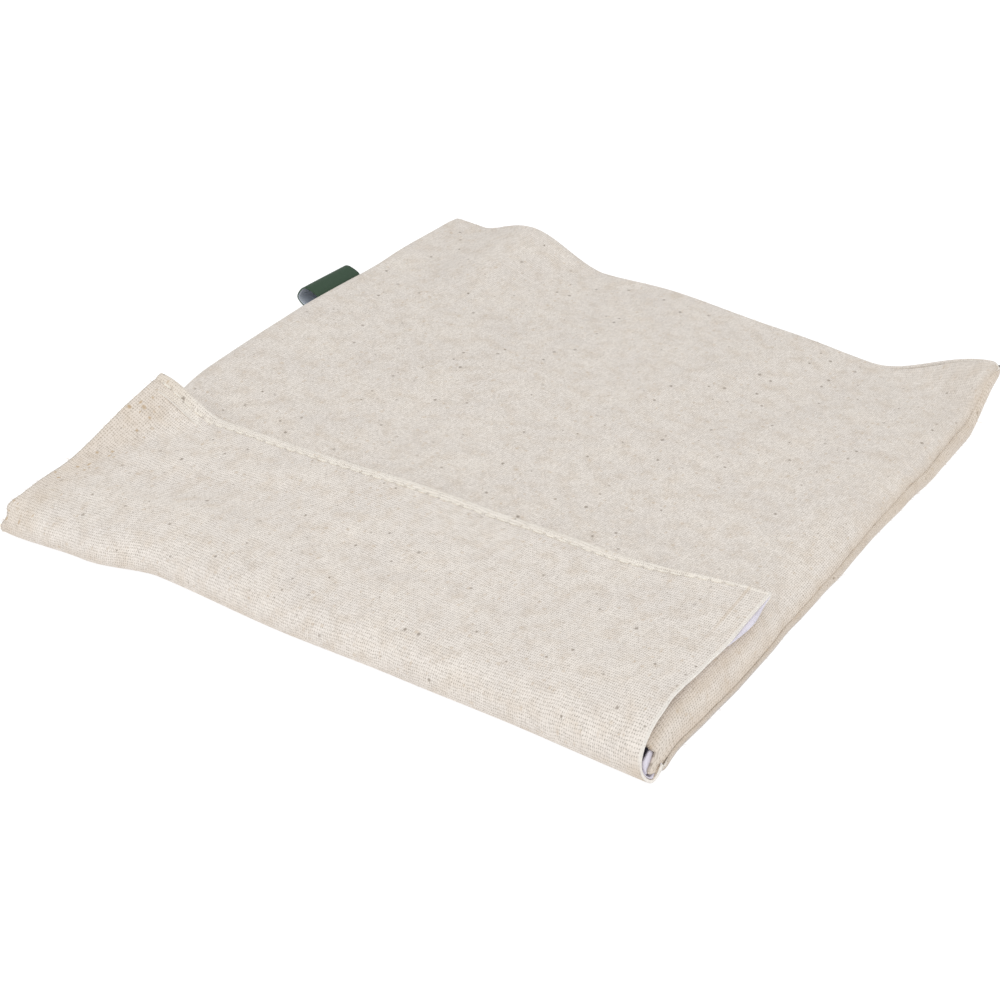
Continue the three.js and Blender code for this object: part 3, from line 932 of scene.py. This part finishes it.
        # painted shade: warm tan on the front panel beside the flap's right edge, stronger where the flap
        # covers it
        flap_shade = self.step(self.front_x, *FLAP_SHADE_SPAN["across"])
        flap_shade = flap_shade * (1 - self.step(self.front_x, *FLAP_SHADE_SPAN["fades"]) * 0.6)
        shade_under_flap = 1 - self.step(self.front_y, *FLAP_SHADE_SPAN["ends"])
        colour = self.mix(flap_shade * (shade_under_flap * 0.3 + 0.06), colour, self.colours.slub_and_shade_tan)
        # painted shade: tan on the lips and on the front panel's edge, darkening the groove of the seam
        lips = self.step(self.cut_x, *LIP_SHADE_SPAN) * self.on_back * (1 - flap_cloth)
        groove_shade = self.step(self.front_x, *GROOVE_SHADE_SPAN)
        return self.mix(groove_shade * 0.3 + lips * 0.35, colour, self.colours.slub_and_shade_tan)

    def painted_low_shade(self, colour):
        """Painted shade: tan low on the sides, and cool grey close to the table."""
        above_table = self.part(self.place(), 2) / MM
        low = 1 - self.step(above_table, *LOW_SHADE_HEIGHTS)
        close = 1 - self.step(above_table, *TABLE_SHADE_HEIGHTS)
        # painted shade: tan on the cloth low on the sides, then cool grey close to the table
        colour = self.mix(low * self.kind["foot"], colour, self.colours.foot)
        return self.mix(close * 0.45, colour, self.colours.shaded)

    def finished(self):
        """The whole linen, with its yarns in relief."""
        colour = self.ground()
        for layer in (self.pinholes, self.impurities, self.edges, self.painted_low_shade):
            colour = layer(colour)
        relief = self.height + self.grain * 0.4 + self.crossing * 0.2
        bump = self.bump(relief, self.sizes.yarn_relief, 0.7)
        constants = {"Specular IOR Level": 0.15, "Sheen Weight": 0.08, "Sheen Roughness": 0.6}
        return self.shade(colour, 0.97 - self.height * 0.1, bump, **constants)


def darker(colour, share):
    """A colour at a share of its brightness."""
    return (*(share * channel for channel in colour[:3]), 1.0)


def edge_finish(colours):
    """Cut edge of the linen: pale ends of the yarns."""
    finish = Finish("cut_edge")
    ends = finish.noise(finish.place(), 1400.0, 2.0)
    colour = finish.mix(finish.step(ends, 0.45, 0.7), colours.cut_edge, colours.linen_cool)
    bump = finish.bump(ends, 0.15 * MM, 0.5)
    return finish.shade(colour, 0.92 + ends * 0.05, bump, **{"Specular IOR Level": 0.15})


def lining_finish(colours):
    """Smooth coated white cloth with a faint mottle."""
    finish = Finish("coated_lining")
    cloth = finish.cut_cloth()
    mottle = finish.noise(cloth, 220.0, 3.0)
    fine = finish.noise(cloth, 1600.0, 2.0)
    colour = finish.mix(finish.step(mottle, 0.35, 0.7), colours.lining, darker(colours.lining, 0.88))
    bump = finish.bump(fine * 0.5 + mottle, 0.08 * MM, 0.5)
    return finish.shade(colour, 0.5 + fine * 0.15, bump, **{"Specular IOR Level": 0.4})


RIBBON_PITCH = {"across": 0.3, "lengthways": 0.24}


def ribbon_finish(name, colour):
    """Fine ribbed weave of a label's ribbon."""
    finish = Finish(name)
    cloth = finish.cut_cloth()
    across = finish.part(cloth, 0) / (RIBBON_PITCH["across"] * MM)
    lengthways = finish.part(cloth, 1) / (RIBBON_PITCH["lengthways"] * MM)
    ribs = finish.math("SINE", across * math.pi) * finish.math("SINE", lengthways * math.pi)
    ribs = ribs * 0.5 + 0.5
    mottle = finish.noise(cloth, 500.0, 2.0)
    shade = finish.mix(ribs * 0.45 + mottle * 0.4, darker(colour, 0.7), colour)
    bump = finish.bump(ribs, 0.06 * MM, 0.6)
    return finish.shade(shade, 0.5 + mottle * 0.15, bump, **{"Specular IOR Level": 0.45})


def thread_finish(colours):
    """Twisted sewing thread."""
    finish = Finish("sewing_thread")
    twist = finish.noise(finish.place(), 2600.0, 1.0)
    colour = finish.mix(finish.step(twist, 0.35, 0.65), darker(colours.thread, 0.8), colours.thread)
    bump = finish.bump(twist, 0.06 * MM, 0.6)
    return finish.shade(colour, 0.75 + twist * 0.1, bump, **{"Specular IOR Level": 0.3})


def fibre_finish(colours):
    """Loose linen fibres."""
    finish = Finish("loose_fibre")
    tone = finish.noise(finish.place(), 160.0, 1.0)
    colour = finish.mix(finish.step(tone, 0.4, 0.6), colours.linen, colours.linen_cool)
    return finish.shade(colour, 0.9 + tone * 0.05)


def floor_finish(colours):
    """Pale table top that glows, so that it stays white and shadows on it stay faint."""
    finish = Finish("pale_floor")
    tone = finish.noise(finish.place(), 3.0, 2.0)
    colour = finish.mix(tone * 0.1, colours.floor, colours.floor_cool)
    constants = {"Emission Color": (1.0, 1.0, 1.0, 1.0), "Emission Strength": 0.78}
    return finish.shade(colour, 0.9, None, **constants)


def aim(obj, target):
    """Turns a light or a camera towards a point."""
    obj.rotation_euler = (target - obj.location).to_track_quat("-Z", "Y").to_euler()


def from_target(azimuth, elevation, distance):
    """A place round the camera's target; azimuth 0 is in front of the fold."""
    level = math.cos(elevation) * distance
    offset = (math.sin(azimuth) * level, -math.cos(azimuth) * level, math.sin(elevation) * distance)
    return CAMERA_TARGET + Vector(offset)


LIGHTS = table(
    "name azimuth elevation distance size power",
    ("front_light", -20, 38, 0.65, 0.5, 0.4),
    ("side_light", 60, 62, 1.6, 1.2, 7.6),
)
SKY_STRENGTH = 0.725
FLOOR = {"half": 4.0, "below": 0.3}


class PouchStage(bpy.types.Operator):
    """Pale floor, soft studio light and the photograph's camera"""

    bl_idname = "pouch.stage"
    bl_label = "Stage"

    def execute(self, context):
        scene = context.scene
        shape = bmesh.new()
        bmesh.ops.create_grid(shape, x_segments=1, y_segments=1, size=FLOOR["half"])
        bmesh.ops.translate(shape, verts=shape.verts, vec=(0, 0, -FLOOR["below"] * MM))
        floor = new_object("floor", shape, [floor_finish(scene.pouch_colours)])
        for row in LIGHTS:
            lamp = bpy.data.lights.new(row["name"], "AREA")
            lamp.shape = "DISK"
            lamp.size = row["size"]
            lamp.energy = row["power"]
            light = bpy.data.objects.new(row["name"], lamp)
            azimuth = math.radians(row["azimuth"])
            light.location = from_target(azimuth, math.radians(row["elevation"]), row["distance"])
            aim(light, CAMERA_TARGET)
            scene.collection.objects.link(light)
        scene.world = bpy.data.worlds.new("studio")
        scene.world.use_nodes = True
        sky = scene.world.node_tree.nodes["Background"]
        sky.inputs["Color"].default_value = (1.0, 1.0, 1.0, 1.0)
        sky.inputs["Strength"].default_value = SKY_STRENGTH
        scene.view_settings.view_transform = "Standard"
        scene.view_settings.look = "None"
        lens = bpy.data.cameras.new("camera")
        lens.lens = CAMERA_LENS
        lens.sensor_width = CAMERA_SENSOR
        lens.clip_start = 0.01
        camera = bpy.data.objects.new("camera", lens)
        camera.location = from_target(CAMERA_AZIMUTH, CAMERA_ELEVATION, CAMERA_DISTANCE)
        aim(camera, CAMERA_TARGET)
        scene.collection.objects.link(camera)
        scene.camera = camera
        return {"FINISHED"}


def hem_station(inside):
    """Place in the flap zone of a distance in from the hem's edge."""
    return HEM_ZONE - (inside - HEM_RADIUS) / FLAP_RUN


class PouchBackPanel(bpy.types.Operator):
    """Back panel, round the fold and on as the flap with its turned hem"""

    bl_idname = "pouch.back_panel"
    bl_label = "Back panel and flap"

    def execute(self, context):
        scene = context.scene
        sizes = scene.pouch_sizes
        beside_lip = BASE_HALF - 4
        side = joined(stations(beside_lip, BASE_HALF, 4), stations(BASE_HALF, CUT_HALF, 10))
        across = joined(
            [-u for u in reversed(side)], stations(-beside_lip, beside_lip, 124), side
        )
        by_corner = base_station(LENGTH - 16)
        lips_open = base_station(LIP_OPENS["to"])
        by_hem = hem_station(7)
        hem_turned = HEM_ZONE + math.pi * HEM_RADIUS / HEM_RUN
        lengthways = joined(
            stations(LIP_ZONE, BASE_ZONE, 10),
            stations(BASE_ZONE, by_corner, 10),
            stations(by_corner, lips_open, 60),
            stations(lips_open, FOLD_ZONE, 6),
            stations(FOLD_ZONE, FLAP_ZONE, 40),
            stations(FLAP_ZONE, by_hem, 32),
            stations(by_hem, HEM_ZONE, 16),
            stations(HEM_ZONE, hem_turned, 8),
            stations(hem_turned, END_ZONE, 3),
        )
        linen = Linen(WOVEN_LINEN, sizes, scene.pouch_colours).finished()
        finishes = [linen, edge_finish(scene.pouch_colours)]
        piece = lay_cloth(
            "back_and_flap", across, lengthways, back_panel, back_measure, sizes.linen, finishes, rim=1
        )
        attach(piece, "root")
        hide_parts("back_panel")
        flat = (2 * CUT_HALF * MM, BACK_RUN * MM)
        return {"FINISHED"}


class PouchFrontPanel(bpy.types.Operator):
    """Front panel, seamed to the back on three sides"""

    bl_idname = "pouch.front_panel"
    bl_label = "Front panel"

    def execute(self, context):
        scene = context.scene
        sizes = scene.pouch_sizes
        rolled = 12
        closing = [rolled * share ** 2 for share in stations(1, 0, 20)]
        under_flap = 48
        across = joined(
            [inside - FRONT_HALF for inside in reversed(closing)],
            stations(rolled - FRONT_HALF, FRONT_HALF - rolled, 112),
            [FRONT_HALF - inside for inside in closing],
        )
        lengthways = joined(
            stations(MOUTH[0]["y"], MOUTH_FADES, 10),
            stations(MOUTH_FADES, under_flap, 16),
            stations(under_flap, FRONT_FAR - rolled, 92),
            [FRONT_FAR - inside for inside in closing],
        )
        linen = Linen(PRESSED_LINEN, sizes, scene.pouch_colours).finished()
        piece = lay_cloth(
            "front", across, lengthways, front_cloth, front_measure, sizes.linen, [linen]
        )
        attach(piece, "root")
        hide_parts("front_panel")
        flat = (2 * FRONT_HALF * MM, (FRONT_FAR - MOUTH[0]["y"]) * MM)
        return {"FINISHED"}


def lining_half(side, v):
    """Half width of the lining in the cut cloth; its right edge rolls out beside the flap."""
    opens = base_station(LIP_OPENS["to"])
    edge = LINING_HALF["edge"]
    if v < FOLD_ZONE:
        table_half = edge + LINING_AT_FOLD[0]["by"]
        return lerp(LINING_HALF["inside"], table_half, ease_between(opens, FOLD_ZONE, v))
    if v < FLAP_ZONE:
        return edge + along(LINING_AT_FOLD, "share", v - FOLD_ZONE, "by")
    rolled = along(LINING_ROLLS_OUT, "share", v - FLAP_ZONE, "by")
    return edge + (rolled if side > 0 else LINING_ROLLS_OUT[0]["by"])


def lining_place(column, v):
    """Place in the cut cloth of a share of the lining's half width."""
    half = lining_half(column, v)
    inner = half - LINING_EDGE
    if abs(column) <= 1:
        return column * inner
    return math.copysign(lerp(inner, half, abs(column) - 1), column)


class PouchLinings(bpy.types.Operator):
    """White linings, where they show: under the flap, round the fold and in the mouth"""

    bl_idname = "pouch.linings"
    bl_label = "Linings"

    def execute(self, context):
        scene = context.scene
        sizes = scene.pouch_sizes
        white = lining_finish(scene.pouch_colours)
        depth = sizes.linen / MM + LINING_GAP

        def flap_lining(column, v):
            u = lining_place(column, v)
            point = under(back_panel, u, v, depth)
            past_edge = max(u - CUT_HALF, 0)
            point.z -= LINING_DROOP["rate"] * past_edge ** LINING_DROOP["power"]
            return point

        def flap_measure(column, v):
            return back_measure(lining_place(column, v), v)

        def mouth_lining(x, share):
            near = along(LINING_AT_MOUTH, "x", x, "y")
            return under(front_panel, x, lerp(near, LINING_INSIDE, share), depth)

        def mouth_measure(x, share):
            return x * MM, lerp(LINING_AT_MOUTH[0]["y"], LINING_INSIDE, share) * MM

        edge = stations(1, 2, 8)
        across = joined([-c for c in reversed(edge)], stations(-1, 1, 76), edge)
        lengthways = joined(
            stations(base_station(LINING_INSIDE), FOLD_ZONE, 12),
            stations(FOLD_ZONE, FLAP_ZONE, 30),
            stations(FLAP_ZONE, hem_station(LINING_STOPS), 34),
        )
        flap = lay_cloth(
            "lining_under_flap", across, lengthways, flap_lining, flap_measure, sizes.lining, [white]
        )
        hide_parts("flap_lining")
        flap_run = LINING_INSIDE - FOLD_START + FOLD_RUN + FLAP_RUN - LINING_STOPS
        flap_run * MM
        half = MOUTH_LINING["half"]
        open_end = MOUTH[0]["x"]
        mouth = lay_cloth(
            "lining_in_mouth",
            joined(stations(-half, open_end, 70), stations(open_end, half, 24)),
            stations(0, 1, 20),
            mouth_lining,
            mouth_measure,
            MOUTH_LINING["thickness"] * MM,
            [white],
        )
        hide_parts("mouth_lining")
        mouth_run = LINING_INSIDE - LINING_AT_MOUTH[0]["y"]
        flat = (2 * half * MM, mouth_run * MM)
        for piece in (flap, mouth):
            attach(piece, "root")
        return {"FINISHED"}


def label_loop():
    """Points round the label's loop, on a smooth curve through its knots."""
    knots = [Vector((LABEL_SEAM - row["out"], row["up"])) for row in LABEL_LOOP]
    route = [knots[0] * 2 - knots[1], *knots, knots[-1] * 2 - knots[-2]]
    loop = []
    for before, start, end, after in zip(route, route[1:], route[2:], route[3:]):
        leave = start + (end - before) / 6
        arrive = end - (after - start) / 6
        loop += geometry.interpolate_bezier(start, leave, arrive, end, LABEL_STEPS)[:-1]
    return [*loop, knots[-1]]


class PouchSideLabel(bpy.types.Operator):
    """Bare ribbon folded into a loop and caught in the left seam"""

    bl_idname = "pouch.side_label"
    bl_label = "Side label"

    def execute(self, context):
        scene = context.scene
        colours = scene.pouch_colours
        loop = label_loop()

        def side_label(y, place):
            return loop[place].x, y, loop[place].y

        def label_measure(y, place):
            run = sum((b - a).length for a, b in zip(loop[:place], loop[1:]))
            return y * MM, run * MM

        outer = ribbon_finish("ribbon_face", colours.ribbon)
        inner = ribbon_finish("ribbon_back", colours.ribbon_back)
        piece = lay_cloth(
            "loop_label",
            stations(LABEL["from"], LABEL["to"], 20),
            list(range(len(loop))),
            side_label,
            label_measure,
            scene.pouch_sizes.ribbon,
            [outer, inner],
            inner=1,
        )
        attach(piece, "root")
        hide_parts("side_label")
        flat = (LABEL["to"] - LABEL["from"]) * MM, label_measure(0, len(loop) - 1)[1]
        return {"FINISHED"}


def on_flap(x, inside):
    """A point on the flap at some distance in from its hem, in metres."""
    y = hem_at(x) - inside
    return settle((x, y, flap_top(x, y) + hem_relief(x, inside)))


STITCH = {"proud": 0.14, "aside": 0.1, "shortest": 0.92, "longest": 1.04}


class PouchHemStitches(bpy.types.Operator):
    """One row of stitches along the flap's hem"""

    bl_idname = "pouch.hem_stitches"
    bl_label = "Hem stitches"

    def execute(self, context):
        sizes = context.scene.pouch_sizes
        chance = random.Random(5)
        pitch = sizes.stitch_pitch / MM
        shape = bmesh.new()
        for number in range(int((HEM_STITCHES_END["right"] - HEM_STITCHES_END["left"]) / pitch)):
            x = HEM_STITCHES_END["left"] + (number + 0.5) * pitch
            inside = along(HEM_STITCHES, "x", x, "inside") + chance.uniform(-STITCH["aside"], STITCH["aside"])
            start = on_flap(x - pitch / 2, inside)
            end = on_flap(x + pitch / 2, inside)
            middle = on_flap(x, inside) + Vector((0, 0, sizes.thread * STITCH["proud"]))
            heading = (end - start).to_track_quat("X", "Z").to_matrix().to_4x4()
            reach = sizes.stitch_length * chance.uniform(STITCH["shortest"], STITCH["longest"]) / 2
            size = Matrix.Diagonal((reach, sizes.thread / 2, sizes.thread / 2, 1))
            bmesh.ops.create_uvsphere(
                shape,
                u_segments=8,
                v_segments=6,
                radius=1.0,
                matrix=Matrix.Translation(middle) @ heading @ size,
            )
        for face in shape.faces:
            face.smooth = True
        piece = new_object("hem_stitches", shape, [thread_finish(context.scene.pouch_colours)])
        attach(piece, "root")
        return {"FINISHED"}


FIBRE = {"shortest": 0.5, "longest": 1.4, "spread": 0.6, "bend": 0.5, "steps": 4}


def jolt(chance, reach):
    """A random vector with no part longer than a reach."""
    return Vector([chance.uniform(-reach, reach) for _ in range(3)])


def add_fibre(shape, root, heading, length, radius, chance):
    """One loose fibre: a thin, bent, pointed strand that never turns down into the floor."""
    turn = heading.to_track_quat("Z", "Y").to_matrix().to_4x4()
    ring = bmesh.ops.create_circle(
        shape, segments=3, radius=radius, cap_ends=True, matrix=Matrix.Translation(root) @ turn
    )
    edges = list({edge for vertex in ring["verts"] for edge in vertex.link_edges})
    for _ in range(FIBRE["steps"]):
        grown = bmesh.ops.extrude_edge_only(shape, edges=edges)["geom"]
        tip = [item for item in grown if isinstance(item, bmesh.types.BMVert)]
        edges = [item for item in grown if isinstance(item, bmesh.types.BMEdge)]
        edges = [edge for edge in edges if all(vertex in tip for vertex in edge.verts)]
        heading = (heading + jolt(chance, FIBRE["bend"])).normalized()
        heading.z = abs(heading.z)
        bmesh.ops.translate(shape, verts=tip, vec=heading * length / FIBRE["steps"])
    centre = sum((vertex.co for vertex in tip), Vector()) / len(tip)
    bmesh.ops.pointmerge(shape, verts=tip, merge_co=centre)


# Edges of the back panel's cut cloth that fray: a place across it, a stretch along it and the way out of
# it; the chances add up row by row, and what is left over goes to the far seam
FRAYED_EDGES = table(
    "chance u from to aside ahead up",
    (0.4, -CUT_HALF, FOLD_ZONE, HEM_ZONE, -1, -0.2, 0.1),
    (0.55, -CUT_HALF, FOLD_ZONE, FOLD_ZONE + 0.5, -1, -0.3, 0),
    (0.75, BASE_HALF + 2.2, BASE_ZONE, FOLD_ZONE - 0.05, 1, -0.2, 0.2),
)
FRAYED_SEAM = {"half": FRONT_HALF - 4, "y": FRONT_FAR - 3, "out": (0.1, 0.6, 0.7)}


def edge_place(chance):
    """A random place on one of the cloth's edges, with the way out of the cloth there."""
    which = chance.random()
    for row in FRAYED_EDGES:
        if which < row["chance"]:
            v = chance.uniform(row["from"], row["to"])
            return settle(back_panel(row["u"], v)), Vector((row["aside"], row["ahead"], row["up"]))
    x = chance.uniform(-FRAYED_SEAM["half"], FRAYED_SEAM["half"])
    return settle(front_panel(x, FRAYED_SEAM["y"])), Vector(FRAYED_SEAM["out"])


# Longer loose threads: a place in the back panel's cut cloth, a heading and a length
LOOSE_THREADS = table(
    "u v aside ahead up length",
    (CUT_HALF - 3.2, base_station(186), 1, -0.1, 0.3, 2.6),
    (-CUT_HALF, FLAP_ZONE + 0.86, -1, 0.1, 0.3, 1.8),
    (-CUT_HALF, FLAP_ZONE + 0.74, -1, -0.2, 0.3, 1.6),
    (-CUT_HALF, FOLD_ZONE + 0.3, -1, -0.3, 0.1, 1.6),
)


class PouchFibres(bpy.types.Operator):
    """Loose fibres along the cut edges and the seams"""

    bl_idname = "pouch.fibres"
    bl_label = "Loose fibres"

    def execute(self, context):
        sizes = context.scene.pouch_sizes
        chance = random.Random(11)
        shape = bmesh.new()
        for _ in range(sizes.fibre_count):
            root, out = edge_place(chance)
            heading = (out + jolt(chance, FIBRE["spread"])).normalized()
            length = chance.uniform(FIBRE["shortest"], FIBRE["longest"]) * MM
            add_fibre(shape, root, heading, length, sizes.fibre / 2, chance)
        for row in LOOSE_THREADS:
            root = settle(back_panel(row["u"], row["v"]))
            heading = Vector((row["aside"], row["ahead"], row["up"])).normalized()
            add_fibre(shape, root, heading, row["length"] * MM, sizes.fibre, chance)
        bmesh.ops.recalc_face_normals(shape, faces=shape.faces)
        piece = new_object("loose_fibres", shape, [fibre_finish(context.scene.pouch_colours)])
        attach(piece, "root")
        return {"FINISHED"}


PIECES = (
    PouchStage,
    PouchHemStitches,
    PouchBackPanel,
    PouchFrontPanel,
    PouchLinings,
    PouchSideLabel,
    PouchFibres,
)


class PouchPanel(bpy.types.Panel):
    """The pouch's pieces, sizes and colours"""

    bl_idname = "VIEW3D_PT_pouch"
    bl_label = "Linen pouch"
    bl_space_type = "VIEW_3D"
    bl_region_type = "UI"
    bl_category = "Pouch"

    def draw(self, context):
        for kind in PIECES:
            self.layout.operator(kind.bl_idname)
        for group in (context.scene.pouch_sizes, context.scene.pouch_colours):
            for name in group.__annotations__:
                self.layout.prop(group, name)


CLASSES = (PouchSizes, PouchColours, *PIECES, PouchPanel)


def register():
    """Adds the classes and the scene's settings."""
    for kind in CLASSES:
        bpy.utils.register_class(kind)
    bpy.types.Scene.pouch_sizes = PointerProperty(type=PouchSizes)
    bpy.types.Scene.pouch_colours = PointerProperty(type=PouchColours)


def unregister():
    """Takes them away again."""
    del bpy.types.Scene.pouch_colours
    del bpy.types.Scene.pouch_sizes
    for kind in reversed(CLASSES):
        bpy.utils.unregister_class(kind)


def main():
    """Makes every piece in order."""
    register()
    bpy.ops.pouch.stage()
    bpy.ops.pouch.hem_stitches()
    bpy.ops.pouch.back_panel()
    bpy.ops.pouch.front_panel()
    bpy.ops.pouch.linings()
    bpy.ops.pouch.side_label()
    bpy.ops.pouch.fibres()


if __name__ == "__main__":
    main()
